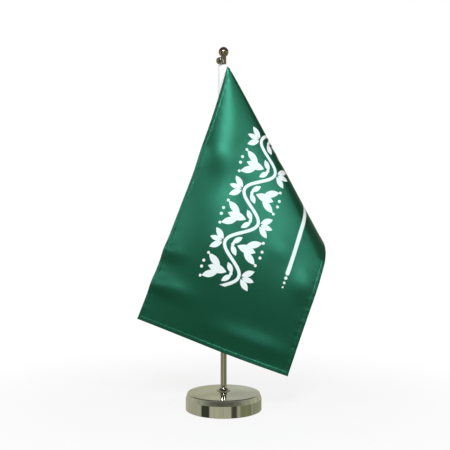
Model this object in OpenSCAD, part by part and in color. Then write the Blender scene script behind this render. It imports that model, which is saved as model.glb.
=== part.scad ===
// Desk flag stand: a weighted chrome base, a telescopic pole with a ball finial,
// and a small satin flag whose white sleeve hangs from a knob near the top.
// Millimetres. Origin at the centre of the underside of the base pad, +Z up the pole.

/* [Base] */
// Outside diameter of the base
base_d = 86; // [76:1:110]
// Height of the base at its centre, above the desk
base_h = 21; // [18:0.5:28]
// Height of the straight side wall
base_wall_h = 13; // [10:0.5:15]
// Height of the rim at the top of the tapered shoulder
base_shoulder_h = 19.2; // [16.5:0.1:24]
// How far the shoulder leans in over its height
base_shoulder_lean = 1.6; // [0.5:0.1:5]
// Radius of the rounded rim at the top of the shoulder
base_rim_r = 1.4; // [0.6:0.1:2]
// Sheet thickness of the chrome shell
shell_t = 1.0; // [0.6:0.1:1.5]
// Thickness of the foam pad under the base
pad_t = 2.0; // [1:0.5:3]

/* [Collar] */
// Diameter of the flared collar at the foot of the pole
collar_d = 15.6; // [12:0.2:24]
// Height of the collar's straight lip
collar_lip_h = 0.8; // [0.4:0.1:2]

/* [Pole] */
// Outside diameter of the lower tube
outer_tube_d = 7.0; // [6.6:0.1:9]
// Wall of the lower tube
outer_tube_wall = 0.3; // [0.2:0.05:0.35]
// Height of the lower tube's mouth above the desk
outer_tube_top = 215; // [180:1:240]
// Radial running gap between the two tubes
tube_gap = 0.1; // [0.06:0.01:0.1]
// Wall of the upper tube
inner_tube_wall = 0.4; // [0.3:0.05:0.5]
// Height of the upper tube's top end above the desk
pole_top = 401.5; // [395:0.5:490]
// How far the upper tube can still be drawn out
extend_travel = 35; // [20:1:60]

/* [Finial and knob] */
// Diameter of the ball on top
ball_d = 11.4; // [9:0.2:18]
// Thread diameter of the stud inside the ball
stud_d = 2.5; // [2:0.1:2.8]
// Diameter of the side knob
knob_d = 8.0; // [6:0.2:10]
// Length of the knob's head
knob_len = 4.6; // [3.5:0.1:6]
// Diameter of the knob's neck
knob_neck_d = 3.0; // [2.4:0.1:3.4]
// Distance from the pole's axis to the back of the knob's head
knob_reach = 5.6; // [4.8:0.1:7]
// How far the knob's root is below the pole's top end
knob_drop = 4.7; // [4.4:0.1:5.2]
// Direction of the knob, round from the front towards the left
knob_turn = 38; // [0:1:80]
// How far the knob points downwards
knob_droop = 15; // [0:1:18]

/* [Flag] */
// Length of the flag along its top edge
flag_l = 300; // [240:5:320]
// Height of the flag along the pole
flag_w = 182; // [120:2:190]
// How far the flag's top corner is below the pole's top end
flag_drop = 12.5; // [12.5:0.5:24]
// Thickness of the panel's stand-in solid
panel_t = 0.5; // [0.3:0.1:0.8]
// Heading of the cloth where it leaves the seam, round from the right towards the back
drape_heading = 51; // [40:1:60]
// Angle from the hoist at which the fold begins
fold_start = 23.5; // [20:0.5:28]
// Angle from the hoist at which the fold ends
fold_end = 44.5; // [42:0.5:50]
// How fast the back layer turns forwards
back_turn = 1.6; // [1.5:0.1:2.2]
// How fast the cloth turns in the fold
fold_turn = 8.0; // [7:0.1:8.5]
// How fast the front layer turns
front_turn = 1.0; // [0.6:0.05:1.4]

/* [Hoist sleeve] */
// Height of the sleeve's top above the flag's top corner
sleeve_rise = 2; // [1:0.5:4]
// Thickness of the sleeve's ribbon
ribbon_t = 0.3; // [0.2:0.05:0.6]
// Gap between the sleeve's pocket and the lower tube
pocket_gap = 0.35; // [0.3:0.05:0.6]
// Spare width of the pocket, to the left of the pole
pocket_slack = 1.85; // [0:0.05:4]
// Seam's place to the right of the pole's axis
seam_x = 4.5; // [4.5:0.1:6]
// Seam's place in front of the pole's axis
seam_y = -6.2; // [-8:0.1:-6.2]

/* [Hidden] */
$fn = 64;
eps = 0.01;

// Base: the shell's skirt hangs over the pad and stops just short of the desk
skirt_lift = 0.6;
base_r = base_d / 2;
rim_steps = 6;
dome_steps = 6;
seat_r = collar_d / 2 + 0.6;
weight_gap = 0.3;
weight_bottom = pad_t;

// Base screw, M4 with a spring washer on a plain washer, in a pocket under the weight
screw_r = 2.0;
screw_hole_r = 2.25;
screw_head_r = 3.5;
screw_head_h = 2.6;
socket_r = 1.45;
socket_h = 1.6;
plain_washer_r = 7;
plain_washer_t = 1.2;
spring_washer_r = 3.6;
spring_washer_t = 1.0;
spring_washer_cut = 0.8;
pocket_r = plain_washer_r + 1;
screw_tip_z = base_h + 8;
screw_seat_z = pad_t + 1 + screw_head_h + spring_washer_t + plain_washer_t;

// Pole: the upper tube runs inside the lower one and is kept in by the rolled mouth
outer_r = outer_tube_d / 2;
outer_bore_r = outer_r - outer_tube_wall;
inner_r = outer_bore_r - tube_gap;
inner_bore_r = inner_r - inner_tube_wall;
mouth_gap = 0.04;
mouth_h = 1.2;
foot_plug_h = 12;
collar_gap = 0.05;
collar_neck_t = 0.4;

// End plug and split friction bush, under the upper tube
bush_gap = 0.02;
bush_play = 0.2;
bush_h = 8;
bush_core_r = inner_bore_r - 0.5;
bush_cut = 1.0;
flange_h = 2.5;
plug_insert_h = 10;
bush_top = outer_tube_top - mouth_h - extend_travel;
groove_top = bush_top + bush_play;
inner_tube_bottom = groove_top + flange_h;

// Top plug, finial stud and ball
top_plug_h = 12;
stud_in_plug = 8.5;
stud_in_ball = 5;
ball_r = ball_d / 2;
ball_z = pole_top + sqrt(ball_r * ball_r - inner_r * inner_r);
stud_gap = 0.03;

// Knob: a turned mushroom head on a spigot brazed through the tube's wall
knob_r = knob_d / 2;
knob_neck_r = knob_neck_d / 2;
knob_edge_r = 1.4;
knob_dome = 0.5;
knob_fit = 0.03;
knob_root_r = 1.95;
knob_root_z = pole_top - knob_drop;

// Hanging loop: a narrow braid round the knob's neck, sewn into the sleeve's top
loop_cord_r = 0.32;
loop_bend_r = knob_neck_r + loop_cord_r + 0.1;
loop_stand_off = inner_r + loop_cord_r + 0.06;
loop_crown_z = knob_root_z - loop_stand_off * tan(knob_droop);
loop_sewn_depth = 4;

// Sleeve and panel
flag_top = pole_top - flag_drop;
sleeve_top = flag_top + sleeve_rise;
pocket_wall_r = outer_r + pocket_gap;
seam_r = norm([seam_x, seam_y]);
seam_angle = atan2(seam_y, seam_x);
seam_t = 3 * ribbon_t;
seam = [seam_x, seam_y, flag_top];
apex_cut = 6;
apex_t = 0.3;
corner_angle = atan(flag_l / flag_w);
hoist_rays = 44;
fly_rays = 16;

// Points of an arc round c, from angle a to angle b
function arc(c, r, a, b, steps) =
    [for (i = [0 : steps]) let (t = a + (b - a) * i / steps) c + r * [cos(t), sin(t)]];

// Half section of the base, drawn in from the outside by a given amount
function base_section(inset, bottom) =
    let (shoulder_r = base_r - base_shoulder_lean - inset,
         rim = max(base_rim_r - inset, 0.2),
         rim_z = base_shoulder_h - inset,
         top = base_h - inset,
         land = seat_r)
    concat([[0, bottom], [base_r - inset, bottom], [base_r - inset, base_wall_h]],
           arc([shoulder_r - rim, rim_z - rim], rim, 5, 85, rim_steps),
           [for (i = [1 : dome_steps])
               let (t = 1 - i / dome_steps, r = land + (shoulder_r - rim - land) * t)
               [r, top - (top - rim_z) * t * t]],
           [[0, top]]);

module ring(r_out, r_in, h) {
    difference() {
        cylinder(r = r_out, h = h);
        translate([0, 0, -1]) cylinder(r = r_in, h = h + 2);
    }
}

module base_pad() {
    color("dimgray") cylinder(r = base_r - shell_t - weight_gap, h = pad_t, $fn = 128);
}

module base_shell() {
    color("silver") rotate_extrude($fn = 128) difference() {
        polygon(base_section(0, skirt_lift));
        polygon(base_section(shell_t, skirt_lift - 1));
        square([2 * screw_hole_r, 4 * base_h], center = true);
    }
}

module base_weight() {
    color("darkslategray") rotate_extrude($fn = 128) difference() {
        intersection() {
            polygon(base_section(shell_t, weight_bottom));
            square([base_r - shell_t - weight_gap, base_h]);
        }
        square([screw_hole_r, base_h]);
        square([pocket_r, screw_seat_z]);
    }
}

module clamp_washer() {
    color("lightgray") translate([0, 0, screw_seat_z - plain_washer_t])
        ring(plain_washer_r, screw_hole_r, plain_washer_t);
}

module lock_washer() {
    color("gray") translate([0, 0, screw_seat_z - plain_washer_t - spring_washer_t]) difference() {
        ring(spring_washer_r, screw_hole_r, spring_washer_t);
        translate([0, -spring_washer_cut / 2, -1])
            cube([spring_washer_r + 1, spring_washer_cut, spring_washer_t + 2]);
    }
}

module base_screw() {
    head_top = screw_seat_z - plain_washer_t - spring_washer_t;
    color("gray") difference() {
        union() {
            translate([0, 0, head_top - screw_head_h]) cylinder(r = screw_head_r, h = screw_head_h);
            translate([0, 0, head_top - eps])
                cylinder(r = screw_r, h = screw_tip_z - head_top + eps);
        }
        translate([0, 0, head_top - screw_head_h - eps])
            cylinder(r = socket_r, h = socket_h + eps, $fn = 6);
    }
}

module pole_collar() {
    lip_r = collar_d / 2;
    neck_r = outer_r + collar_gap + collar_neck_t;
    flare_r = lip_r - neck_r;
    color("silver") translate([0, 0, base_h]) rotate_extrude() difference() {
        square([lip_r, collar_lip_h + flare_r]);
        translate([lip_r, collar_lip_h + flare_r]) circle(r = flare_r);
        square([outer_r + collar_gap, collar_d]);
    }
}

module outer_tube() {
    color("silver") difference() {
        translate([0, 0, base_h]) cylinder(r = outer_r, h = outer_tube_top - base_h);
        translate([0, 0, base_h - 1])
            cylinder(r = outer_bore_r, h = outer_tube_top - mouth_h - base_h + 1);
        translate([0, 0, base_h]) cylinder(r = inner_r + mouth_gap, h = outer_tube_top);
    }
}

module pole_plug() {
    color("goldenrod") translate([0, 0, base_h]) ring(outer_bore_r, screw_r, foot_plug_h);
}

module friction_bush() {
    color("khaki") translate([0, 0, bush_top - bush_h]) difference() {
        ring(outer_bore_r - bush_gap, bush_core_r + bush_gap, bush_h);
        translate([0, -bush_cut / 2, -1]) cube([outer_r, bush_cut, bush_h + 2]);
    }
}

module end_plug() {
    groove_h = bush_h + 2 * bush_play;
    color("goldenrod") {
        translate([0, 0, groove_top - groove_h - flange_h]) cylinder(r = inner_r, h = flange_h);
        translate([0, 0, groove_top - groove_h - eps])
            cylinder(r = bush_core_r, h = groove_h + 2 * eps);
        translate([0, 0, groove_top]) cylinder(r = inner_r, h = flange_h);
        translate([0, 0, inner_tube_bottom - eps]) cylinder(r = inner_bore_r, h = plug_insert_h);
    }
}

module along_knob() {
    translate([0, 0, knob_root_z]) rotate([0, 0, -90 - knob_turn]) rotate([0, 90 + knob_droop, 0])
        children();
}

module inner_tube() {
    color("silver") difference() {
        translate([0, 0, inner_tube_bottom]) cylinder(r = inner_r, h = pole_top - inner_tube_bottom);
        translate([0, 0, inner_tube_bottom - 1]) cylinder(r = inner_bore_r, h = pole_top);
        along_knob() cylinder(r = knob_neck_r + knob_fit, h = 2 * inner_r);
    }
}

module top_plug() {
    color("goldenrod") difference() {
        translate([0, 0, pole_top - top_plug_h]) cylinder(r = inner_bore_r, h = top_plug_h);
        translate([0, 0, pole_top - stud_in_plug - 0.5])
            cylinder(r = stud_d / 2 + stud_gap, h = top_plug_h);
        along_knob() translate([0, 0, knob_root_r - knob_fit])
            cylinder(r = knob_neck_r + knob_fit, h = 2 * inner_r);
    }
}

module hook_knob() {
    color("silver") along_knob() rotate_extrude() {
        translate([0, knob_root_r]) square([knob_neck_r, knob_reach - knob_root_r + 1]);
        polygon(concat([[0, knob_reach]],
            arc([knob_r - knob_edge_r, knob_reach + knob_edge_r], knob_edge_r, -90, 0, rim_steps),
            arc([knob_r - knob_edge_r, knob_reach + knob_len - knob_dome - knob_edge_r],
                knob_edge_r, 0, 80, rim_steps),
            [[0, knob_reach + knob_len]]));
    }
}

module loop_outline(r) {
    leg_h = loop_crown_z - sleeve_top + loop_sewn_depth;
    circle(r = r);
    translate([leg_h, 0]) circle(r = r);
    translate([0, -r]) square([leg_h, 2 * r]);
}

module hanging_loop() {
    color("white") rotate([0, 0, -90 - knob_turn])
        translate([loop_stand_off + loop_cord_r, 0, sleeve_top - loop_sewn_depth]) rotate([0, -90, 0])
            linear_extrude(height = 2 * loop_cord_r) difference() {
                loop_outline(loop_bend_r + loop_cord_r);
                loop_outline(loop_bend_r - loop_cord_r);
            }
}

module pocket_outline(r) {
    circle(r = r);
    translate([-pocket_slack, 0]) circle(r = r);
    translate([-pocket_slack, -r]) square([pocket_slack, 2 * r]);
}

module flag_sleeve() {
    color("white") translate([0, 0, sleeve_top - flag_w - sleeve_rise])
        linear_extrude(height = flag_w + sleeve_rise) difference() {
            union() {
                pocket_outline(pocket_wall_r + ribbon_t);
                rotate(seam_angle) translate([0, -seam_t / 2]) square([seam_r, seam_t]);
            }
            pocket_outline(pocket_wall_r);
        }
}

// The drape is a fan of straight rays from the flag's top corner at the seam. A ray at angle a
// from the hoist keeps that angle, so the panel is never stretched. Each frame holds a ray's
// direction and its heading; the next frame turns both about the panel's normal, and about
// the ray itself by the local turn.
function turn_at(a) = a < fold_start ? back_turn : a < fold_end ? fold_turn : front_turn;
function turned(v, w, a) = v * cos(a) + cross(w, v) * sin(a) + w * (w * v) * (1 - cos(a));
function next_frame(f, from, to) =
    let (w = cross(f[0], f[1]) + f[0] * turn_at((from + to) / 2), a = norm(w) * (to - from))
    [turned(f[0], w / norm(w), a), turned(f[1], w / norm(w), a)];
function ray_angle(i) = i <= hoist_rays ? corner_angle * i / hoist_rays
    : corner_angle + (90 - corner_angle) * (i - hoist_rays) / fly_rays;
function ray_reach(a) = a < corner_angle ? flag_w / cos(a) : flag_l / sin(a);

module flag_panel() {
    rays = hoist_rays + fly_rays;
    frames = [for (i = 0, f = [[0, 0, -1], [cos(drape_heading), sin(drape_heading), 0]]; i <= rays;
                   f = next_frame(f, ray_angle(i), ray_angle(i + 1)), i = i + 1) f];
    points = [for (i = [0 : rays]) let (d = frames[i][0], n = cross(d, frames[i][1]))
                  each [seam + d * apex_cut + n * apex_t / 2,
                        seam + d * ray_reach(ray_angle(i)) + n * panel_t / 2,
                        seam + d * ray_reach(ray_angle(i)) - n * panel_t / 2,
                        seam + d * apex_cut - n * apex_t / 2]];
    sides = [for (i = [0 : rays - 1], s = [0 : 3])
                 let (p = 4 * i + s, q = 4 * i + (s + 1) % 4)
                 each [[p, q, q + 4], [p, q + 4, p + 4]]];
    ends = [[0, 3, 2, 1], [4 * rays, 4 * rays + 1, 4 * rays + 2, 4 * rays + 3]];
    color("seagreen") polyhedron(points, concat(sides, ends), convexity = 4);
}

module finial_stud() {
    color("gray") translate([0, 0, pole_top - stud_in_plug])
        cylinder(r = stud_d / 2, h = stud_in_plug + stud_in_ball);
}

module finial_ball() {
    color("silver") difference() {
        translate([0, 0, ball_z]) sphere(r = ball_r);
        translate([0, 0, pole_top - ball_d]) cylinder(r = ball_r, h = ball_d);
        translate([0, 0, pole_top - 1]) cylinder(r = stud_d / 2 + stud_gap, h = stud_in_ball + 1.5);
    }
}

base_pad();
base_shell();
base_weight();
clamp_washer();
lock_washer();
base_screw();
pole_collar();
outer_tube();
pole_plug();
friction_bush();
end_plug();
inner_tube();
top_plug();
hook_knob();
hanging_loop();
flag_sleeve();
flag_panel();
finial_stud();
finial_ball();
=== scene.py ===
"""Looks for the desk flag stand: camera, light, satin flag, white sleeve, chrome stand. Metres throughout."""
import math

import bpy
import numpy as np
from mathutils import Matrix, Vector


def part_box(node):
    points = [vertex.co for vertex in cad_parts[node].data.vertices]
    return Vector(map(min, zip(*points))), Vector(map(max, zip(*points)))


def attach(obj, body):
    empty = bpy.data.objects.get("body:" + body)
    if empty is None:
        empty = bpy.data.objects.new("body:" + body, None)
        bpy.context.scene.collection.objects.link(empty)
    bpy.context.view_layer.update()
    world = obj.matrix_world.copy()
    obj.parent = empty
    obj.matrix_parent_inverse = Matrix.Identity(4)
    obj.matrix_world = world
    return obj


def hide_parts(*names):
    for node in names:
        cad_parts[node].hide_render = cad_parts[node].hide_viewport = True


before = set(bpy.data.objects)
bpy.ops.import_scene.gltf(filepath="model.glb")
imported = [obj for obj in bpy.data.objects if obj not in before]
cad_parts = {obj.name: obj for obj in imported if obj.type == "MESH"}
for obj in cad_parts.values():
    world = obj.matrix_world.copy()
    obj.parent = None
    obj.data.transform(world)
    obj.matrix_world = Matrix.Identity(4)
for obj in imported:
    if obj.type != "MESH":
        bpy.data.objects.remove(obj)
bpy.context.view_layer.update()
scene = bpy.context.scene
MM = 0.001

# ---------------------------------------------------------------- sizes, from the frame and the flag's cut
FLAG_L, FLAG_W = 0.300, 0.182
SLEEVE_LOW, SLEEVE_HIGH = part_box("flag_sleeve")
# the sleeve stands this far over the flag's top corner, which is sewn into its seam
SLEEVE_RISE = 2 * MM
SEAM = np.array([4.5 * MM, -6.2 * MM, SLEEVE_HIGH.z - SLEEVE_RISE])
TUBE_LOW, TUBE_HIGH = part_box("outer_tube")
TUBE_R = (TUBE_HIGH.x - TUBE_LOW.x) / 2

# The drape: straight rays from the top corner at the seam. The fold lies between two angles on the flat flag,
# in degrees from the hoist, which are those of the CAD panel's own rays. The turns are how much the rays curl
# on the back part, in the fold and on the front part
DRAPE_HEADING = math.radians(51)
FOLD_START, FOLD_END = 24.04, 44.07
BACK_TURN, FOLD_TURN, FRONT_TURN = 1.6, 8.0, 1.0


# ---------------------------------------------------------------- node helpers
def new_material(name):
    """A material with only its output and a Principled shader: the material, its node tree and the shader."""
    mat = bpy.data.materials.new(name)
    mat.use_nodes = True
    tree = mat.node_tree
    tree.nodes.clear()
    out = tree.nodes.new("ShaderNodeOutputMaterial")
    bsdf = tree.nodes.new("ShaderNodeBsdfPrincipled")
    tree.links.new(bsdf.outputs[0], out.inputs[0])
    return mat, tree, bsdf


def put(socket, value, tree):
    """Links a socket to another node's output, or sets its value."""
    if isinstance(value, bpy.types.NodeSocket):
        tree.links.new(value, socket)
    else:
        socket.default_value = value


def math_node(tree, operation, *values, clamp=False):
    node = tree.nodes.new("ShaderNodeMath")
    node.operation = operation
    node.use_clamp = clamp
    for socket, value in zip(node.inputs, values):
        put(socket, value, tree)
    return node.outputs[0]


def times(tree, a, b):
    return math_node(tree, "MULTIPLY", a, b)


def plus(tree, a, b):
    return math_node(tree, "ADD", a, b)


def minus(tree, a, b):
    return math_node(tree, "SUBTRACT", a, b)


def times_plus(tree, a, b, c):
    """a times b, plus c."""
    return math_node(tree, "MULTIPLY_ADD", a, b, c)


def larger(tree, a, b):
    return math_node(tree, "MAXIMUM", a, b)


def length_of(tree, x, y):
    return math_node(tree, "SQRT", plus(tree, times(tree, x, x), times(tree, y, y)))


def smooth_step(tree, value, low, high):
    """0 at low and before it, 1 at high and past it, and smooth between. low may be the larger."""
    node = tree.nodes.new("ShaderNodeMapRange")
    node.interpolation_type = "SMOOTHSTEP"
    put(node.inputs["Value"], value, tree)
    put(node.inputs["From Min"], low, tree)
    put(node.inputs["From Max"], high, tree)
    return node.outputs[0]


def mix_colours(tree, factor, a, b):
    node = tree.nodes.new("ShaderNodeMix")
    node.data_type = "RGBA"
    colours = [s for s in node.inputs if s.type == "RGBA"]
    put(node.inputs[0], factor, tree)
    put(colours[0], a, tree)
    put(colours[1], b, tree)
    return [s for s in node.outputs if s.type == "RGBA"][0]


def noise(tree, vector, scale, detail=3.0, roughness=0.5):
    node = tree.nodes.new("ShaderNodeTexNoise")
    put(node.inputs["Vector"], vector, tree)
    node.inputs["Scale"].default_value = scale
    node.inputs["Detail"].default_value = detail
    node.inputs["Roughness"].default_value = roughness
    return node.outputs["Fac"]


def object_place(tree):
    return tree.nodes.new("ShaderNodeTexCoord").outputs["Object"]


def add_bump(tree, bsdf, height, distance, strength=1.0):
    node = tree.nodes.new("ShaderNodeBump")
    node.inputs["Strength"].default_value = strength
    node.inputs["Distance"].default_value = distance
    put(node.inputs["Height"], height, tree)
    tree.links.new(node.outputs[0], bsdf.inputs["Normal"])


def rgb(r, g, b):
    return (r, g, b, 1.0)


def shaded(colour, share):
    """A colour made darker or lighter by a factor, no channel over 1."""
    return rgb(*(min(1, channel * share) for channel in colour))


# ---------------------------------------------------------------- metals and plastics
# hairlines run up and down: the noise is much finer across than along
SCRATCH_STRETCH = (900, 900, 60)


def polished_metal(name, colour, roughness, smudge=0.06):
    """Plated metal: handling marks in the roughness, a faint tint change, hairline scratches."""
    mat, tree, bsdf = new_material(name)
    place = object_place(tree)
    marks = noise(tree, place, scale=60, detail=4)
    tint = noise(tree, place, scale=18, detail=2)
    darker = shaded(colour, 0.86)
    put(bsdf.inputs["Base Color"], mix_colours(tree, tint, rgb(*colour), darker), tree)
    bsdf.inputs["Metallic"].default_value = 1.0
    spread = times(tree, smooth_step(tree, marks, low=0.42, high=0.75), smudge)
    put(bsdf.inputs["Roughness"], plus(tree, spread, roughness), tree)
    stretch = tree.nodes.new("ShaderNodeMapping")
    stretch.inputs["Scale"].default_value = SCRATCH_STRETCH
    tree.links.new(place, stretch.inputs["Vector"])
    scratches = noise(tree, stretch.outputs[0], scale=4, detail=2)
    add_bump(tree, bsdf, scratches, distance=0.004 * MM, strength=0.6)
    return mat


def rough_metal(name, colour, roughness, grain):
    """Bare or cast metal: a speckle in colour, roughness and relief. grain is the speckle's scale."""
    mat, tree, bsdf = new_material(name)
    place = object_place(tree)
    speckle = noise(tree, place, grain, detail=5, roughness=0.6)
    light = shaded(colour, 1.35)
    put(bsdf.inputs["Base Color"], mix_colours(tree, speckle, rgb(*colour), light), tree)
    bsdf.inputs["Metallic"].default_value = 0.9
    put(bsdf.inputs["Roughness"], times_plus(tree, speckle, 0.25, roughness), tree)
    add_bump(tree, bsdf, speckle, distance=0.05 * MM)
    return mat


def dull_plastic(name, colour, roughness, grain):
    """Foam or moulded plastic with a fine cellular relief, its colour darker in the relief's hollows as
    painted shade.
    """
    mat, tree, bsdf = new_material(name)
    place = object_place(tree)
    cells = noise(tree, place, grain, detail=3, roughness=0.7)
    # painted shade: the colour darkens where the cells' relief is low
    dark = shaded(colour, 0.6)
    put(bsdf.inputs["Base Color"], mix_colours(tree, cells, dark, rgb(*colour)), tree)
    bsdf.inputs["Roughness"].default_value = roughness
    add_bump(tree, bsdf, cells, distance=0.08 * MM)
    return mat


# ---------------------------------------------------------------- cloth materials
def flat_axes(tree, width, length):
    """Distances along and down the flag, in metres, from its flat map."""
    node = tree.nodes.new("ShaderNodeUVMap")
    node.uv_map = "flat"
    split = tree.nodes.new("ShaderNodeSeparateXYZ")
    tree.links.new(node.outputs[0], split.inputs[0])
    along = times(tree, split.outputs[0], length)
    down = times(tree, split.outputs[1], width)
    return along, down


# half the width over which the print's edges fade: on the cloth, and as a share of a leaf
SOFT_EDGE = 0.25 * MM
LEAF_SOFT_EDGE = 0.06


def capsule_mask(tree, along, down, a, b, radius):
    """1 within radius of the line from a to b on the flat cloth."""
    ax, ay = a
    dx, dy = b[0] - a[0], b[1] - a[1]
    px = minus(tree, along, ax)
    py = minus(tree, down, ay)
    dot = plus(tree, times(tree, px, dx), times(tree, py, dy))
    t = math_node(tree, "DIVIDE", dot, dx * dx + dy * dy, clamp=True)
    ex = minus(tree, px, times(tree, t, dx))
    ey = minus(tree, py, times(tree, t, dy))
    return smooth_step(tree, length_of(tree, ex, ey), radius + SOFT_EDGE, radius - SOFT_EDGE)


def leaf_mask(tree, x, y, centre, angle, half_length, half_width):
    """1 inside a pointed leaf, bounded by two parabolas that meet at its tips."""
    c, s = math.cos(angle), math.sin(angle)
    px = minus(tree, x, centre[0])
    py = minus(tree, y, centre[1])
    lx = math_node(tree, "DIVIDE", plus(tree, times(tree, px, c), times(tree, py, s)), half_length)
    ly = math_node(tree, "DIVIDE", minus(tree, times(tree, py, c), times(tree, px, s)), half_width)
    edge = plus(tree, times(tree, lx, lx), math_node(tree, "ABSOLUTE", ly))
    return smooth_step(tree, edge, 1 + LEAF_SOFT_EDGE, 1 - LEAF_SOFT_EDGE)


def disc_mask(tree, x, y, centre, radius):
    """1 within radius of the centre."""
    far = length_of(tree, minus(tree, x, centre[0]), minus(tree, y, centre[1]))
    return smooth_step(tree, far, radius + SOFT_EDGE, radius - SOFT_EDGE)


# The print: a running vine in half waves, a leaf spray in each arch, over a plain bar with three beads
PRINT_START, HALF_WAVE, WAVES = 51 * MM, 30.5 * MM, 6
VINE_DOWN, VINE_SWING, VINE_HALF = 78.5 * MM, 14 * MM, 1.8 * MM
# (across, up, angle from across in degrees, half length, half width) of the leaves of one arch, in mm
LEAVES = [(0, -11.5, 90, 11, 4.6), (-7.6, -17.5, 60, 9.5, 3.9), (7.6, -17.5, 120, 9.5, 3.9),
          (-5.8, 1.5, 42, 6.5, 2.9), (5.8, 1.5, 138, 6.5, 2.9),
          (-6.4, 22.6, 128, 7.6, 3.3), (6.4, 22.6, 52, 7.6, 3.3), (0, 24.6, 90, 7.2, 2.9)]
# (across, up, radius) of the berries of one arch, in mm
BERRIES = [(-3.4, -29, 1.7), (3.4, -29, 1.7), (-13, -27, 1.6), (13, -27, 1.6), (0, 4.6, 1.9)]
BAR_DOWN, BAR_START, BAR_END, BAR_HALF = 143 * MM, 100 * MM, 196 * MM, 2.4 * MM
# (along, radius) of the beads past the bar's end
BEADS = [(201.5 * MM, 1.9 * MM), (207 * MM, 1.5 * MM), (212 * MM, 1.1 * MM)]
PRINT_END_SOFT = 0.2 * MM


def vine_print(tree, along, down):
    """A generic running vine with leaves and berries, over a plain bar with beads."""
    y = minus(tree, VINE_DOWN, down)
    cell = math_node(tree, "DIVIDE", minus(tree, along, PRINT_START), HALF_WAVE)
    index = math_node(tree, "FLOOR", cell)
    x = times(tree, minus(tree, minus(tree, cell, index), 0.5), HALF_WAVE)
    # every second arch is turned over; the added even number keeps the remainder positive
    odd = math_node(tree, "MODULO", plus(tree, index, 100.0), 2.0)
    up = times(tree, y, minus(tree, 1.0, times(tree, odd, 2.0)))
    wave = math.pi / HALF_WAVE
    stem = times(tree, math_node(tree, "COSINE", times(tree, x, wave)), VINE_SWING)
    off_stem = math_node(tree, "ABSOLUTE", minus(tree, up, stem))
    # the stem is as thick on its slopes as at its crests
    slope = times(tree, math_node(tree, "SINE", times(tree, x, wave)), VINE_SWING * math.pi / HALF_WAVE)
    lean = math_node(tree, "SQRT", times_plus(tree, slope, slope, 1.0))
    off_stem = math_node(tree, "DIVIDE", off_stem, lean)
    total = smooth_step(tree, off_stem, VINE_HALF + SOFT_EDGE, VINE_HALF - SOFT_EDGE)
    for across, rise, angle, length, width in LEAVES:
        centre, sizes = (across * MM, rise * MM), (length * MM, width * MM)
        total = larger(tree, total, leaf_mask(tree, x, up, centre, math.radians(angle), *sizes))
    for across, rise, radius in BERRIES:
        total = larger(tree, total, disc_mask(tree, x, up, (across * MM, rise * MM), radius * MM))
    start, end = PRINT_START, PRINT_START + WAVES * HALF_WAVE
    inside = times(tree, smooth_step(tree, along, start - PRINT_END_SOFT, start + PRINT_END_SOFT),
                   smooth_step(tree, along, end + PRINT_END_SOFT, end - PRINT_END_SOFT))
    total = times(tree, total, inside)
    bar = capsule_mask(tree, along, down, (BAR_START, BAR_DOWN), (BAR_END, BAR_DOWN), BAR_HALF)
    total = larger(tree, total, bar)
    for bead, radius in BEADS:
        total = larger(tree, total, disc_mask(tree, along, down, (bead, BAR_DOWN), radius))
    return total


# The satin: two greens that it drifts between, its print, and the pitch of its weave
SATIN_DARK, SATIN_LIGHT, PRINT_WHITE = (0.0009, 0.019, 0.0075), (0.0015, 0.026, 0.0105), (0.75, 0.78, 0.80)
SATIN_GLOSS_TINT, SATIN_SHEEN_TINT = (0.17, 1.0, 0.67), (0.15, 0.95, 0.58)
WEAVE_ROW, FLOAT_LENGTH, FLOAT_SHIFT = 0.22 * MM, 0.9 * MM, 0.38


def satin_green():
    """Polyester satin: long floats give a soft, one-way gloss over a deep green, with a white print."""
    mat, tree, bsdf = new_material("green_satin")
    along, down = flat_axes(tree, FLAG_W, FLAG_L)
    place = object_place(tree)
    print_mask = vine_print(tree, along, down)
    patch = noise(tree, place, scale=14, detail=3)
    green = mix_colours(tree, patch, rgb(*SATIN_DARK), rgb(*SATIN_LIGHT))
    put(bsdf.inputs["Base Color"], mix_colours(tree, print_mask, green, rgb(*PRINT_WHITE)), tree)
    put(bsdf.inputs["Roughness"], times_plus(tree, patch, 0.06, 0.37), tree)
    bsdf.inputs["Specular IOR Level"].default_value = 1.0
    bsdf.inputs["Specular Tint"].default_value = rgb(*SATIN_GLOSS_TINT)
    bsdf.inputs["Sheen Weight"].default_value = 0.05
    bsdf.inputs["Sheen Roughness"].default_value = 0.35
    bsdf.inputs["Sheen Tint"].default_value = rgb(*SATIN_SHEEN_TINT)
    # the weave: rows of long floats, each row shifted along from the last
    row = times(tree, down, 1 / WEAVE_ROW)
    shift = times(tree, math_node(tree, "FLOOR", row), FLOAT_SHIFT)
    thread = math_node(tree, "SINE", times(tree, row, 2 * math.pi))
    place_in_float = plus(tree, times(tree, along, 1 / FLOAT_LENGTH), shift)
    floats = math_node(tree, "SINE", times(tree, place_in_float, 2 * math.pi))
    weave = times_plus(tree, thread, 0.5, times(tree, floats, 0.3))
    add_bump(tree, bsdf, weave, distance=0.012 * MM, strength=0.7)
    return mat


def plain_weave(name, colour, pitch, roughness=0.7):
    """A plain-woven ribbon or a thread: crossing threads in relief, slightly uneven in colour."""
    mat, tree, bsdf = new_material(name)
    place = object_place(tree)
    split = tree.nodes.new("ShaderNodeSeparateXYZ")
    tree.links.new(place, split.inputs[0])
    uneven = noise(tree, place, scale=120, detail=3)
    shade = shaded(colour, 0.9)
    put(bsdf.inputs["Base Color"], mix_colours(tree, uneven, shade, rgb(*colour)), tree)
    bsdf.inputs["Roughness"].default_value = roughness
    bsdf.inputs["Sheen Weight"].default_value = 0.3
    bsdf.inputs["Sheen Roughness"].default_value = 0.5
    waves = [math_node(tree, "SINE", times(tree, s, 2 * math.pi / pitch))
             for s in (plus(tree, split.outputs[0], split.outputs[1]), split.outputs[2])]
    add_bump(tree, bsdf, times(tree, *waves), distance=0.05 * MM, strength=0.8)
    return mat


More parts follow.
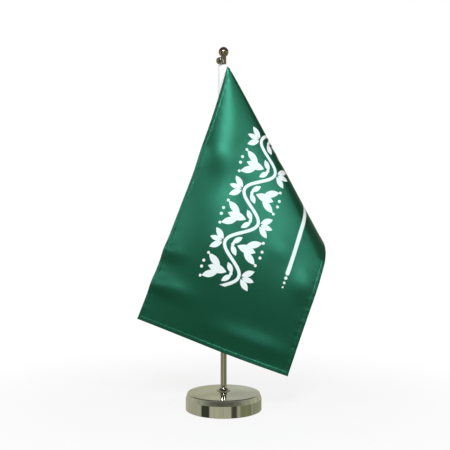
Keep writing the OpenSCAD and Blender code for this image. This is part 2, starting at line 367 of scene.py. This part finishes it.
# ---------------------------------------------------------------- meshes
def make_object(name, points, faces, material, body):
    """A smooth-shaded piece that rides on a body."""
    mesh = bpy.data.meshes.new(name)
    mesh.from_pydata([tuple(p) for p in points], [], [tuple(int(i) for i in f) for f in faces])
    mesh.validate()
    mesh.polygons.foreach_set("use_smooth", [True] * len(mesh.polygons))
    mesh.update()
    obj = bpy.data.objects.new(name, mesh)
    scene.collection.objects.link(obj)
    obj.data.materials.append(material)
    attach(obj, body)
    return obj


def grid_faces(rows, columns, start=0, flip=False):
    """Quads of a grid of points stored row by row."""
    i, j = np.meshgrid(np.arange(rows - 1), np.arange(columns - 1), indexing="ij")
    a = start + i * columns + j
    quads = np.stack([a, a + 1, a + columns + 1, a + columns], -1).reshape(-1, 4)
    return quads[:, ::-1] if flip else quads


# any direction that no tube's path runs along
SKEW = (0.3, 0.2, 0.93)


def sheet_faces(rows, columns, turned):
    """Faces of a closed sheet made of two grids of points, one behind the other, and the rim between them."""
    count = rows * columns
    rim = np.concatenate([np.arange(columns), np.arange(1, rows) * columns + columns - 1,
                          (rows - 1) * columns + np.arange(columns - 2, -1, -1),
                          np.arange(rows - 2, 0, -1) * columns])
    beyond = np.roll(rim, -1)
    edge = [rim, beyond, beyond + count, rim + count]
    if not turned:
        edge = [edge[0], *edge[:0:-1]]
    return np.concatenate([grid_faces(rows, columns, 0, turned), grid_faces(rows, columns, count, not turned),
                           np.stack(edge, -1)])


def ring_mesh(path, radius_at, sides):
    """Points and faces of a tube along a closed path. radius_at(i, angle) is the radius of ring i."""
    path = np.asarray(path)
    count = len(path)
    ahead = np.roll(path, -1, 0) - np.roll(path, 1, 0)
    ahead /= np.linalg.norm(ahead, axis=1)[:, None]
    side = np.cross(ahead[0], SKEW)
    rings = []
    for i in range(count):
        side = side - ahead[i] * (side @ ahead[i])
        side /= np.linalg.norm(side)
        other = np.cross(ahead[i], side)
        for k in range(sides):
            angle = 2 * math.pi * k / sides
            rings.append(path[i] + radius_at(i, angle) * (side * math.cos(angle) + other * math.sin(angle)))
    faces = []
    for i in range(count):
        for k in range(sides):
            a, b = i * sides + k, i * sides + (k + 1) % sides
            c, d = ((i + 1) % count) * sides + (k + 1) % sides, ((i + 1) % count) * sides + k
            faces.append((a, b, c, d))
    return np.array(rings), faces


# ---------------------------------------------------------------- the drape
def drape_rays(steps=720):
    """Directions of the drape's rays for angles 0 to 90 degrees from the hoist."""
    ray = np.array([0.0, 0.0, -1.0])
    heading = np.array([math.cos(DRAPE_HEADING), math.sin(DRAPE_HEADING), 0.0])
    rays = [ray]
    step = math.radians(90 / steps)
    for i in range(steps):
        angle = 90 * (i + 0.5) / steps
        turn = BACK_TURN if angle < FOLD_START else FOLD_TURN if angle < FOLD_END else FRONT_TURN
        axis = np.cross(ray, heading) + ray * turn
        amount = np.linalg.norm(axis) * step
        axis /= np.linalg.norm(axis)
        c, s = math.cos(amount), math.sin(amount)
        ray, heading = (v * c + np.cross(axis, v) * s + axis * (axis @ v) * (1 - c) for v in (ray, heading))
        rays.append(ray)
    return np.array(rays)


RAYS = drape_rays()


def on_drape(u, v):
    """Points of the drape for distances u along and v down the flat flag."""
    reach = np.hypot(u, v)
    angle = np.degrees(np.arctan2(u, np.maximum(v, 1e-12)))
    grid = np.linspace(0, 90, len(RAYS))
    ray = np.stack([np.interp(angle, grid, RAYS[:, k]) for k in range(3)], -1)
    ray /= np.linalg.norm(ray, axis=-1)[..., None]
    return SEAM + reach[..., None] * ray


def surface_normals(points):
    """Unit normals of a grid of points (rows down the flag, columns along it)."""
    down = np.gradient(points, axis=0)
    along = np.gradient(points, axis=1)
    normal = np.cross(down, along)
    size = np.linalg.norm(normal, axis=-1)[..., None]
    return normal / np.maximum(size, 1e-15)


# Soft swells and hollows of the hanging cloth: (along, down, size along, size down, height), all in mm
SWELLS = [
    (97, 20, 20, 26, 2.4), (132, 20, 18, 26, -1.3), (219, 8, 9, 18, 2.2), (257, 20, 10, 28, 2.8),
    (174, 126, 16, 18, 1.5), (202, 165, 16, 14, 1.6), (280, 128, 12, 40, 2.6), (306, 132, 11, 56, 2.8)]
# The lower cloth hangs back from a soft bend across the flag
BEND_ALONG, BEND_SOFT, BEND_SLOPE = 200 * MM, 9 * MM, 0.12
BEND_FULL_DOWN = 70 * MM
# Soft folds that run out from the top corner: their height for each metre of reach, how much faster they turn
# than the angle at the corner, their phase, the reach where they start, and the reach they then take to grow
FAN_HEIGHT, FAN_WAVES, FAN_PHASE, FAN_START, FAN_RISE = 0.004, 11.0, 0.6, 0.05, 0.1
# The cloth's give on the bias, in mm: the top edge bows in, the two fly corners are drawn along, the top
# corner is pulled up, and the fly drops and sags
TOP_BOW, FLY_TOP_DRAW, FLY_LOW_DRAW, TOP_LIFT, FLY_DROP, FLY_SAG = 4.6, 2.2, 0.4, 1.3, 1.1, 1.3


def swelled(points, u, v):
    """The analytic drape with the cloth's swells, its stretched corners and its bowed edges."""
    normals = surface_normals(points)
    height = np.zeros_like(u)
    for cu, cv, su, sv, h in SWELLS:
        height += h * MM * np.exp(-(((u - cu * MM) / (su * MM)) ** 2 + ((v - cv * MM) / (sv * MM)) ** 2))
    angle = np.arctan2(u, np.maximum(v, 1e-9))
    reach = np.hypot(u, v)
    fan = FAN_HEIGHT * reach * np.sin(FAN_WAVES * angle + FAN_PHASE)
    height += fan * np.clip((reach - FAN_START) / FAN_RISE, 0, 1)
    height -= (BEND_SLOPE * (0.5 + 0.5 * np.clip(v / BEND_FULL_DOWN, 0, 1)) * BEND_SOFT
               * np.logaddexp(0, (u - BEND_ALONG) / BEND_SOFT))
    held = np.clip(u / (25 * MM), 0, 1)
    moved = points - normals * (height * held)[..., None]
    far, low = u / FLAG_L, v / FLAG_W
    moved[..., 0] += MM * (TOP_BOW * np.sin(math.pi * far ** 0.8) * (1 - low) ** 2
                           - FLY_TOP_DRAW * far ** 4 * (1 - low) ** 2 + FLY_LOW_DRAW * far ** 2 * low ** 2)
    moved[..., 2] += MM * (TOP_LIFT * np.exp(-reach / (25 * MM)) - FLY_DROP * far ** 4
                           - FLY_SAG * far ** 3 * np.sin(math.pi * low ** 1.5))
    return moved


SIM_STEP = 3 * MM
SIM_FRAMES = 12
SIM_HOLD, SIM_CAP = 0.34, 3 * MM


def settle_cloth(points, u):
    """Lets the cloth settle under its weight: the hoist is sewn, and the rest is held close to its drape."""
    rows, columns = u.shape
    mesh = bpy.data.meshes.new("sim_cloth")
    mesh.from_pydata([tuple(p) for p in points.reshape(-1, 3)], [],
                     [tuple(int(i) for i in f) for f in grid_faces(rows, columns)])
    obj = bpy.data.objects.new("sim_cloth", mesh)
    scene.collection.objects.link(obj)
    group = obj.vertex_groups.new(name="pin")
    sewn = u.ravel() < 0.5 * SIM_STEP
    hold = np.where(sewn, 1.0, SIM_HOLD)
    for i, weight in enumerate(hold):
        group.add([i], float(weight), "REPLACE")
    cloth = obj.modifiers.new("cloth", "CLOTH")
    s = cloth.settings
    s.quality = 6
    s.mass = 0.12
    s.tension_stiffness = s.compression_stiffness = 20
    s.shear_stiffness = 10
    s.bending_stiffness = 8
    s.air_damping = 2.0
    s.vertex_group_mass = "pin"
    s.pin_stiffness = 1.0
    cloth.collision_settings.use_collision = False
    cloth.point_cache.frame_start, cloth.point_cache.frame_end = 1, SIM_FRAMES
    for frame_number in range(1, SIM_FRAMES + 1):
        scene.frame_set(frame_number)
    evaluated = obj.evaluated_get(bpy.context.evaluated_depsgraph_get())
    settled = np.zeros(len(evaluated.data.vertices) * 3)
    evaluated.data.vertices.foreach_get("co", settled)
    bpy.data.objects.remove(obj)
    scene.frame_set(1)
    moved = settled.reshape(points.shape) - points
    size = np.linalg.norm(moved, axis=-1)
    print("cloth moved at most %.1f mm, mean %.1f mm" % (size.max() / MM, size.mean() / MM))
    return points + moved * np.minimum(1, SIM_CAP / np.maximum(size, 1e-12))[..., None]


def spline_weights(places, knots):
    """For each place, the first of four neighbouring knots (evenly spaced) and their Catmull-Rom weights."""
    step = knots[1] - knots[0]
    cell = np.clip(((places - knots[0]) / step).astype(int), 0, len(knots) - 2)
    t = (places - knots[0]) / step - cell
    weights = np.stack([-0.5 * t + t ** 2 - 0.5 * t ** 3, 1 - 2.5 * t ** 2 + 1.5 * t ** 3,
                        0.5 * t + 2 * t ** 2 - 1.5 * t ** 3, -0.5 * t ** 2 + 0.5 * t ** 3], -1)
    return cell, weights


def resample(points, knots_v, knots_u, vs, us):
    """The grid of points, smoothly read at new distances down and along."""
    def along_first_axis(grid, knots, places):
        padded = np.concatenate([2 * grid[:1] - grid[1:2], grid, 2 * grid[-1:] - grid[-2:-1]])
        cell, weights = spline_weights(places, knots)
        return sum(weights[:, k, None, None] * padded[cell + k] for k in range(4))
    rows = along_first_axis(points, knots_v, vs)
    return along_first_axis(rows.transpose(1, 0, 2), knots_u, us).transpose(1, 0, 2)


# The hem's width, half the thickness of the single and the hemmed cloth, and the grid lines by a hemmed edge
HEM = 4.2 * MM
PANEL_HALF, HEM_HALF = 0.11 * MM, 0.30 * MM
HEM_LINES = np.array([0, 0.25, 0.8, 3.4, 4.0, 4.4, 5.0]) * MM
FINE_STEP = 1.25 * MM
# The gathers along a hem: height, distance in, spread, and their waves as (length for a radian, share, phase)
PUCKER_HEIGHT, PUCKER_IN, PUCKER_SPREAD = 0.09 * MM, 3.5 * MM, 4.5 * MM
PUCKER_WAVES = [(1.05 * MM, 0.6, 0.0), (1.9 * MM, 1.0, 1.3), (3.7 * MM, 0.7, 0.4)]


def cut_lines(length, low_hem, high_hem):
    """Grid lines across the flag, closer together at the hemmed edges."""
    low = HEM_LINES if low_hem else np.array([0.0])
    high = length - (HEM_LINES[::-1] if high_hem else np.array([0.0]))
    count = max(2, round((high[0] - low[-1]) / FINE_STEP))
    return np.concatenate([low[:-1], np.linspace(low[-1], high[0], count + 1), high[1:]])


def edge_distance(u, v):
    """Distance to the nearest hemmed edge: top, bottom or fly."""
    return np.minimum(np.minimum(v, FLAG_W - v), FLAG_L - u)


def half_thickness(u, v):
    """Half the cloth's thickness: more in the hems, and rounded off at their edges."""
    d = edge_distance(u, v)
    rise = np.clip((HEM + 0.2 * MM - d) / (0.5 * MM), 0, 1)
    half = PANEL_HALF + (HEM_HALF - PANEL_HALF) * rise * rise * (3 - 2 * rise)
    return half * np.where(d < 0.1 * MM, 0.55, np.where(d < 0.4 * MM, 0.85, 1.0))


def puckers(u, v):
    """Small gathers that the hem's stitches pull into the cloth."""
    d = edge_distance(u, v)
    run = np.where(d == FLAG_L - u, v, u)
    fade = np.exp(-((d - PUCKER_IN) / PUCKER_SPREAD) ** 2)
    wave = sum(share * np.sin(run / length + phase) for length, share, phase in PUCKER_WAVES)
    return PUCKER_HEIGHT * wave * fade * np.clip(u / (10 * MM), 0, 1)


def build_flag(satin):
    """The flag as a closed sheet with its flat map, and its middle surface for the stitches."""
    knots_u = np.linspace(0, FLAG_L, round(FLAG_L / SIM_STEP) + 1)
    knots_v = np.linspace(0, FLAG_W, round(FLAG_W / SIM_STEP) + 1)
    u, v = np.meshgrid(knots_u, knots_v)
    points = swelled(on_drape(u, v), u, v)
    points = settle_cloth(points, u)
    us, vs = cut_lines(FLAG_L, False, True), cut_lines(FLAG_W, True, True)
    points = resample(points, knots_v, knots_u, vs, us)
    u, v = np.meshgrid(us, vs)
    normals = surface_normals(points)
    points = points - normals * puckers(u, v)[..., None]
    normals = surface_normals(points)
    half = half_thickness(u, v)[..., None]
    front, back = points - normals * half, points + normals * half
    faces = sheet_faces(*u.shape, turned=False)
    flag = make_object("satin_flag", np.concatenate([front.reshape(-1, 3), back.reshape(-1, 3)]), faces,
                       satin, "upper_pole")
    flat = np.stack([u / FLAG_L, v / FLAG_W], -1).reshape(-1, 2)
    flat = np.concatenate([flat, flat])
    layer = flag.data.uv_layers.new(name="flat")
    corners = np.zeros(len(flag.data.loops), int)
    flag.data.loops.foreach_get("vertex_index", corners)
    layer.uv.foreach_set("vector", flat[corners].astype(np.float32).ravel())
    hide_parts("flag_panel")
    surface = {"points": points, "normals": normals, "us": us, "vs": vs}
    return flag, surface


def read_surface(surface, u, v):
    """Points and normals of the finished flag at distances u and v, by bilinear reading."""
    us, vs = surface["us"], surface["vs"]
    i = np.clip(np.searchsorted(us, u) - 1, 0, len(us) - 2)
    j = np.clip(np.searchsorted(vs, v) - 1, 0, len(vs) - 2)
    s = ((u - us[i]) / (us[i + 1] - us[i]))[:, None]
    t = ((v - vs[j]) / (vs[j + 1] - vs[j]))[:, None]
    def read(grid):
        return ((grid[j, i] * (1 - s) + grid[j, i + 1] * s) * (1 - t)
                + (grid[j + 1, i] * (1 - s) + grid[j + 1, i + 1] * s) * t)
    return read(surface["points"]), read(surface["normals"])


STITCH, STITCH_GAP, THREAD_R = 2.0 * MM, 0.55 * MM, 0.13 * MM
# The rings of one stitch: (share of its length, share of the thread's radius, height in radii)
STITCH_RINGS = [(0.0, 0.35, -0.9), (0.12, 0.85, -0.1), (0.5, 1.0, 0.25), (0.88, 0.85, -0.1),
                (1.0, 0.35, -0.9)]


def stitch_row(starts, ends, normals, lift):
    """Points and faces of a row of stitches, each a short rounded thread lying on the cloth."""
    sides = 6
    points, faces = [], []
    for a, b, n in zip(starts, ends, normals):
        along = b - a
        across = np.cross(n, along)
        across /= np.linalg.norm(across)
        first = len(points)
        for t, size, height in STITCH_RINGS:
            centre = a + along * t + n * (lift + height * THREAD_R)
            for k in range(sides):
                angle = 2 * math.pi * k / sides
                points.append(centre + THREAD_R * size * (across * math.cos(angle) + n * math.sin(angle)))
        for ring in range(len(STITCH_RINGS) - 1):
            for k in range(sides):
                p = first + ring * sides + k
                q = first + ring * sides + (k + 1) % sides
                faces.append((p, q, q + sides, p + sides))
        faces.append(tuple(first + k for k in range(sides))[::-1])
        faces.append(tuple(first + (len(STITCH_RINGS) - 1) * sides + k for k in range(sides)))
    return points, faces


def join_meshes(parts):
    """One mesh from several (points, faces) parts."""
    points, faces = [], []
    for p, f in parts:
        start = len(points)
        points.extend(p)
        faces.extend(tuple(i + start for i in face) for face in f)
    return points, faces


def build_hem_stitches(surface, thread):
    """Machine stitches along the hems, on both faces of the cloth."""
    inset = HEM - 0.9 * MM
    parts = []
    corners = np.array([(6 * MM, inset), (FLAG_L - inset, inset), (FLAG_L - inset, FLAG_W - inset),
                        (6 * MM, FLAG_W - inset)])
    for start, end in zip(corners, corners[1:]):
        length = np.linalg.norm(end - start)
        count = int(length // (STITCH + STITCH_GAP))
        at = (np.arange(count) + 0.1) * (STITCH + STITCH_GAP) / length
        flat_a = start + (end - start) * at[:, None]
        flat_b = flat_a + (end - start) / length * STITCH
        a, normals = read_surface(surface, flat_a[:, 0], flat_a[:, 1])
        b, _ = read_surface(surface, flat_b[:, 0], flat_b[:, 1])
        for side in (-1, 1):
            parts.append(stitch_row(a, b, normals * side, HEM_HALF))
    points, faces = join_meshes(parts)
    stitches = make_object("hem_stitching", points, faces, thread, "upper_pole")
    return stitches


# ---------------------------------------------------------------- the white sleeve
POCKET_R = TUBE_R + 0.45 * MM
POCKET_SLACK = 1.85 * MM
RIBBON_HALF = 0.15 * MM
SLEEVE_HEM, SLEEVE_INSET, SEAM_INSET, SEAM_LIFT = 3.0 * MM, 0.1 * MM, 1.6 * MM, 0.02 * MM
# Shallow dents that wander down and round the loose pocket, which is not quite round: (depth in mm, length
# down for a radian, radians round, phase)
DENTS = [(0.14, 8.5 * MM, 5, 0.0), (0.10, 3.9 * MM, -9, 0.0), (0.08, 2.1 * MM, 14, 1.0)]


def tangent_angle(centre, radius, point, side):
    """Angle on a circle where the line to the point touches it, on the given side."""
    d = np.array(point) - centre
    return math.atan2(d[1], d[0]) + side * math.acos(radius / np.linalg.norm(d))


def sleeve_section():
    """The ribbon's path from the seam, round the back and the left of the pole, to the seam again."""
    tip = SEAM[:2]
    right, left = np.array([0.0, 0.0]), np.array([-POCKET_SLACK, 0.0])
    a0 = tangent_angle(right, POCKET_R, tip, 1)
    a3 = tangent_angle(left, POCKET_R, tip, -1) + 2 * math.pi
    def arc(centre, a, b, count):
        t = np.linspace(a, b, count)[:, None]
        return centre + POCKET_R * np.concatenate([np.cos(t), np.sin(t)], 1)
    first, second = arc(right, a0, math.pi / 2, 18), arc(left, math.pi / 2, a3, 26)
    tip_out = tip + 0.25 * MM * (tip / np.linalg.norm(tip))
    lead = [tip_out + (first[0] - tip_out) * t for t in np.linspace(0, 1, 9)[:-1]]
    tail = [second[-1] + (tip_out - second[-1]) * t for t in np.linspace(0, 1, 9)[1:]]
    top = [first[-1] + (second[0] - first[-1]) * t for t in (0.25, 0.5, 0.75)]
    return np.concatenate([lead, first, top, second, tail])


def read_line(line, run, places):
    """Points of a line at given distances along it. run is the distance of each of its own points."""
    return np.stack([np.interp(places, run, line[:, k]) for k in range(line.shape[1])], 1)


def build_sleeve(ribbon, thread):
    """The ribbon as a closed sheet with hems at its ends, its seam and hem stitches, and its length round."""
    section = sleeve_section()
    steps = np.linalg.norm(np.diff(section, axis=0), axis=1)
    run = np.concatenate([[0], np.cumsum(steps)])
    girth = run[-1]
    tangent = np.gradient(section, axis=0)
    tangent /= np.linalg.norm(tangent, axis=1)[:, None]
    outward = np.stack([tangent[:, 1], -tangent[:, 0]], 1)
    top, bottom = SLEEVE_HIGH.z - SLEEVE_INSET, SLEEVE_LOW.z + SLEEVE_INSET
    hem = SLEEVE_HEM / MM
    edge = np.array([0, 0.2, 0.6, hem - 0.5, hem, hem + 0.4]) * MM
    middle = np.linspace(top - edge[-1], bottom + edge[-1], 130)
    levels = np.concatenate([top - edge[:-1], middle, (bottom + edge[:-1])[::-1]])
    free = np.clip(run / (3 * MM), 0, 1) * np.clip((girth - run) / (3 * MM), 0, 1)
    rows, columns = len(levels), len(section)
    outer, inner = np.zeros((rows, columns, 3)), np.zeros((rows, columns, 3))
    for i, z in enumerate(levels):
        down = top - z
        from_end = min(down, z - bottom)
        thick = RIBBON_HALF * (1.0 + 0.9 * np.clip((SLEEVE_HEM + 0.2 * MM - from_end) / (0.4 * MM), 0, 1))
        thick *= 0.6 if from_end < 0.1 * MM else 1.0
        dent = sum(depth * np.sin(down / length + round_it * run / girth + phase)
                   for depth, length, round_it, phase in DENTS) * MM
        shape = section + outward * ((np.abs(dent) * 0.6 * free)[:, None])
        outer[i, :, :2], inner[i, :, :2] = shape + outward * thick, shape - outward * thick
        outer[i, :, 2] = inner[i, :, 2] = z
    faces = sheet_faces(rows, columns, turned=True)
    sleeve = make_object("hoist_ribbon", np.concatenate([outer.reshape(-1, 3), inner.reshape(-1, 3)]), faces,
                         ribbon, "upper_pole")
    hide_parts("flag_sleeve")
    # seam stitches on both faces of the tail, and a row round the top and bottom hems
    parts = []
    for place in (SEAM_INSET, girth - SEAM_INSET):
        column = np.searchsorted(run, place)
        line = outer[3:-3, column]
        reach = np.concatenate([[0], np.cumsum(np.linalg.norm(np.diff(line, axis=0), axis=1))])
        starts = np.arange(0.5 * MM, reach[-1] - STITCH, STITCH + STITCH_GAP)
        normals = [np.array([*outward[column], 0.0])] * len(starts)
        parts.append(stitch_row(read_line(line, reach, starts), read_line(line, reach, starts + STITCH),
                                normals, SEAM_LIFT))
    for level, shift in ((4, 0.3 * MM), (rows - 5, -0.3 * MM)):
        line = outer[level] + np.array([0, 0, shift])
        starts = np.arange(1.5 * MM, girth - STITCH, STITCH + STITCH_GAP)
        normals = [np.array([*n, 0]) for n in read_line(outward, run, starts)]
        parts.append(stitch_row(read_line(line, run, starts), read_line(line, run, starts + STITCH),
                                normals, SEAM_LIFT))
    points, faces = join_meshes(parts)
    stitches = make_object("sleeve_stitching", points, faces, thread, "upper_pole")
    return sleeve, stitches, girth


def build_loop(braid):
    """The braided loop round the knob's neck, in the upright plane of its CAD solid."""
    low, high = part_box("hanging_loop")
    centre = (low + high) / 2
    across = np.array([centre.x, centre.y])
    across /= np.linalg.norm(across)
    side = np.array([-across[1], across[0], 0.0])
    cord_r, bend, stand_off = 0.30 * MM, 1.90 * MM, 3.46 * MM
    base = np.array([across[0] * stand_off, across[1] * stand_off, 0.0])
    z_low, z_high = low.z + bend + cord_r, high.z - bend - cord_r
    path = []
    for start, z_bend, z_next, turn in ((0, z_high, z_low, -1), (math.pi, z_low, z_high, 1)):
        for t in np.linspace(start, start + math.pi, 17):
            path.append(base + side * bend * math.cos(t) + np.array([0, 0, z_bend + bend * math.sin(t)]))
        for z in np.linspace(z_bend, z_next, 14)[1:-1]:
            path.append(base + side * bend * turn + np.array([0, 0, z]))
    # three strands that wind round the cord
    points, faces = ring_mesh(path, lambda i, a: cord_r * (1 + 0.10 * math.sin(3 * a + 1.4 * i)), sides=12)
    loop = make_object("braid_loop", points, faces, braid, "upper_pole")
    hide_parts("hanging_loop")
    return loop


# ---------------------------------------------------------------- studio
CAMERA_PLACE, CAMERA_TILT, CAMERA_LENS, CAMERA_SENSOR = (1.6 * MM, -0.800, 0.203), 90.43, 56.22, 36


def build_camera():
    data = bpy.data.cameras.new("camera")
    data.lens, data.sensor_width = CAMERA_LENS, CAMERA_SENSOR
    data.clip_start, data.clip_end = 0.01, 100
    camera = bpy.data.objects.new("camera", data)
    camera.location = CAMERA_PLACE
    camera.rotation_euler = (math.radians(CAMERA_TILT), 0, 0)
    scene.collection.objects.link(camera)
    scene.camera = camera


LAMP_COLOUR = (0.97, 0.985, 1.0)
# Each lamp: its place, what it is turned to, its size in metres, its power in watts, and the plated parts
# that it is flagged off, so that they mirror the room only
LAMPS = {
    "key": ((-0.10, -1.14, 0.87), (0, 0, 0.25), (0.36, 0.24), 11, ["base_shell", "inner_tube"]),
    "side": ((0.765, -0.98, 0.60), (0, 0, 0.22), (0.14, 0.14), 5.5,
             ["base_shell", "pole_collar", "inner_tube", "hook_knob", "finial_ball"]),
    "left": ((-1.05, -0.75, 0.64), (0, 0, 0.22), (0.16, 0.16), 3.8,
             ["base_shell", "pole_collar", "inner_tube", "hook_knob", "finial_ball"]),
}


def add_light(name, place, target, size, power, flagged_off):
    data = bpy.data.lights.new(name, "AREA")
    data.shape = "RECTANGLE"
    data.size, data.size_y = size
    data.energy = power
    data.color = LAMP_COLOUR
    light = bpy.data.objects.new(name, data)
    light.location = place
    light.rotation_euler = (Vector(target) - Vector(place)).to_track_quat("-Z", "Y").to_euler()
    scene.collection.objects.link(light)
    flags = bpy.data.collections.new(name + "_flags")
    for node in flagged_off:
        flags.objects.link(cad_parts[node])
    for member in flags.collection_objects:
        member.light_linking.link_state = "EXCLUDE"
    light.light_linking.receiver_collection = flags


# The floor turns from a share of glow to all glow between two distances. What lights the stand is dimmer
FLOOR_NEAR, FLOOR_FAR, FLOOR_GLOW, FLOOR_BOUNCE = 0.10, 0.45, 0.84, 0.35
FLOOR_SIZE = 60


def build_floor():
    """A white sweep: shaded round the stand, and brightening into the white beyond it."""
    mat, tree, bsdf = new_material("floor")
    place = object_place(tree)
    far = tree.nodes.new("ShaderNodeVectorMath")
    far.operation = "LENGTH"
    tree.links.new(place, far.inputs[0])
    bsdf.inputs["Base Color"].default_value = rgb(0.92, 0.93, 0.95)
    bsdf.inputs["Roughness"].default_value = 0.6
    glow = tree.nodes.new("ShaderNodeEmission")
    blend = tree.nodes.new("ShaderNodeMixShader")
    away = smooth_step(tree, far.outputs["Value"], FLOOR_NEAR, FLOOR_FAR)
    share = times_plus(tree, away, 1 - FLOOR_GLOW, FLOOR_GLOW)
    seen = tree.nodes.new("ShaderNodeLightPath").outputs["Is Camera Ray"]
    put(glow.inputs["Strength"], times_plus(tree, seen, 1 - FLOOR_BOUNCE, FLOOR_BOUNCE), tree)
    tree.links.new(share, blend.inputs[0])
    tree.links.new(bsdf.outputs[0], blend.inputs[1])
    tree.links.new(glow.outputs[0], blend.inputs[2])
    out = next(node for node in tree.nodes if node.type == "OUTPUT_MATERIAL")
    tree.links.new(blend.outputs[0], out.inputs[0])
    bpy.ops.mesh.primitive_plane_add(size=FLOOR_SIZE)
    floor = bpy.context.object
    floor.name = "floor"
    floor.data.materials.append(mat)
    floor.visible_glossy = False


# The room round the stand, as seen in its plating: a pale low part that turns dark between two elevations,
# and patches. Each has an azimuth range (from the front, to the right), an elevation range and an edge width,
# all in degrees, and then its colour and its strength
ROOM_LOW, ROOM_HIGH = (0.52, 0.51, 0.41), (0.13, 0.13, 0.115)
ROOM_TURN = (10, 22)
ROOM_UNEVEN, ROOM_LEAST = 0.7, 0.65
WIDEST_EDGE_UP = 4
ROOM_PATCHES = [
    # a dark front, with a pale band over it
    ((-48, 48), (-7, 7), 4, (0.06, 0.065, 0.05), 0.9),
    ((-85, 85), (11, 18), 3, (0.40, 0.40, 0.33), 0.85),
    # pale screens behind
    ((140, 200), (2, 34), 6, (0.52, 0.53, 0.46), 1.0),
    ((-200, -140), (2, 34), 6, (0.50, 0.50, 0.38), 1.0),
    # two dark uprights, and olive to their right
    ((-70, -43), (-60, -6), 1.5, (0.016, 0.02, 0.012), 0.93),
    ((23, 41), (-60, -6), 1.5, (0.03, 0.025, 0.016), 0.88),
    ((52, 94), (-60, -6), 3, (0.18, 0.19, 0.09), 0.78),
    ((98, 175), (-60, -6), 3, (0.26, 0.28, 0.17), 0.75),
]


def build_world():
    """White to the camera; to everything else, the room and its patches."""
    world = bpy.data.worlds.new("studio")
    scene.world = world
    world.use_nodes = True
    tree = world.node_tree
    tree.nodes.clear()
    out = tree.nodes.new("ShaderNodeOutputWorld")
    direction = tree.nodes.new("ShaderNodeTexCoord").outputs["Generated"]
    split = tree.nodes.new("ShaderNodeSeparateXYZ")
    tree.links.new(direction, split.inputs[0])
    x, y, z = split.outputs
    azimuth = times(tree, math_node(tree, "ARCTAN2", x, times(tree, y, -1.0)), 180 / math.pi)
    elevation = times(tree, math_node(tree, "ARCSINE", z), 180 / math.pi)
    room = mix_colours(tree, smooth_step(tree, elevation, *ROOM_TURN), rgb(*ROOM_LOW), rgb(*ROOM_HIGH))
    for (left, right), (low, high), edge, colour, strength in ROOM_PATCHES:
        patch = times(tree, smooth_step(tree, azimuth, left - edge, left + edge),
                      smooth_step(tree, azimuth, right + edge, right - edge))
        edge = min(edge, WIDEST_EDGE_UP)
        patch = times(tree, patch, smooth_step(tree, elevation, low - edge, low + edge))
        patch = times(tree, patch, smooth_step(tree, elevation, high + edge, high - edge))
        patch = times(tree, patch, strength)
        room = mix_colours(tree, patch, room, rgb(*colour))
    uneven = times_plus(tree, noise(tree, direction, scale=7, detail=2), ROOM_UNEVEN, ROOM_LEAST)
    shown = tree.nodes.new("ShaderNodeBackground")
    shown.inputs[0].default_value = rgb(1, 1, 1)
    studio = tree.nodes.new("ShaderNodeBackground")
    put(studio.inputs[0], room, tree)
    put(studio.inputs[1], uneven, tree)
    rays = tree.nodes.new("ShaderNodeLightPath")
    blend = tree.nodes.new("ShaderNodeMixShader")
    tree.links.new(rays.outputs["Is Camera Ray"], blend.inputs[0])
    tree.links.new(studio.outputs[0], blend.inputs[1])
    tree.links.new(shown.outputs[0], blend.inputs[2])
    tree.links.new(blend.outputs[0], out.inputs[0])


# ---------------------------------------------------------------- put together
build_camera()
build_floor()
build_world()
for name, settings in LAMPS.items():
    add_light(name, *settings)
scene.view_settings.view_transform = "Standard"

# The stand is chrome throughout. The warm olive tint of these three colours, and the pole's and the finial's
# darker colours, are painted reflection of the room that the plating mirrors. The finial's colour is also
# used on the upper tube and the knob.
chrome_base = polished_metal("chrome_base", (0.66, 0.665, 0.585), roughness=0.07)
chrome_pole = polished_metal("chrome_pole", (0.53, 0.515, 0.43), roughness=0.06)
chrome_finial = polished_metal("chrome_finial", (0.33, 0.295, 0.225), roughness=0.2)
METALS = {
    "base_shell": chrome_base, "pole_collar": chrome_pole, "outer_tube": chrome_pole,
    "inner_tube": chrome_finial, "hook_knob": chrome_finial, "finial_ball": chrome_finial,
    "base_pad": dull_plastic("foam_pad", (0.045, 0.045, 0.05), roughness=0.9, grain=2500),
    "base_weight": rough_metal("iron_weight", (0.11, 0.11, 0.115), roughness=0.55, grain=900),
    "clamp_washer": polished_metal("zinc_steel", (0.70, 0.70, 0.72), roughness=0.28, smudge=0.12),
    "lock_washer": rough_metal("spring_steel", (0.20, 0.20, 0.21), roughness=0.35, grain=1500),
    "pole_plug": polished_metal("brass_insert", (0.80, 0.62, 0.28), roughness=0.22, smudge=0.10),
    "friction_bush": dull_plastic("nylon_bush", (0.80, 0.76, 0.64), roughness=0.5, grain=1800),
}
METALS["base_screw"] = METALS["finial_stud"] = METALS["clamp_washer"]
METALS["end_plug"] = METALS["top_plug"] = METALS["pole_plug"]
for node, metal in METALS.items():
    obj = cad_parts[node]
    obj.data.materials.clear()
    obj.data.materials.append(metal)

satin = satin_green()
ribbon = plain_weave("white_ribbon", (0.90, 0.91, 0.94), pitch=0.45 * MM)
braid = plain_weave("white_braid", (0.90, 0.90, 0.90), pitch=0.30 * MM)
green_thread = plain_weave("green_thread", (0.005, 0.062, 0.032), pitch=0.20 * MM, roughness=0.5)

flag, surface = build_flag(satin)
hem_stitches = build_hem_stitches(surface, green_thread)
sleeve, sleeve_stitches, girth = build_sleeve(ribbon, braid)
loop = build_loop(braid)

bpy.context.view_layer.update()
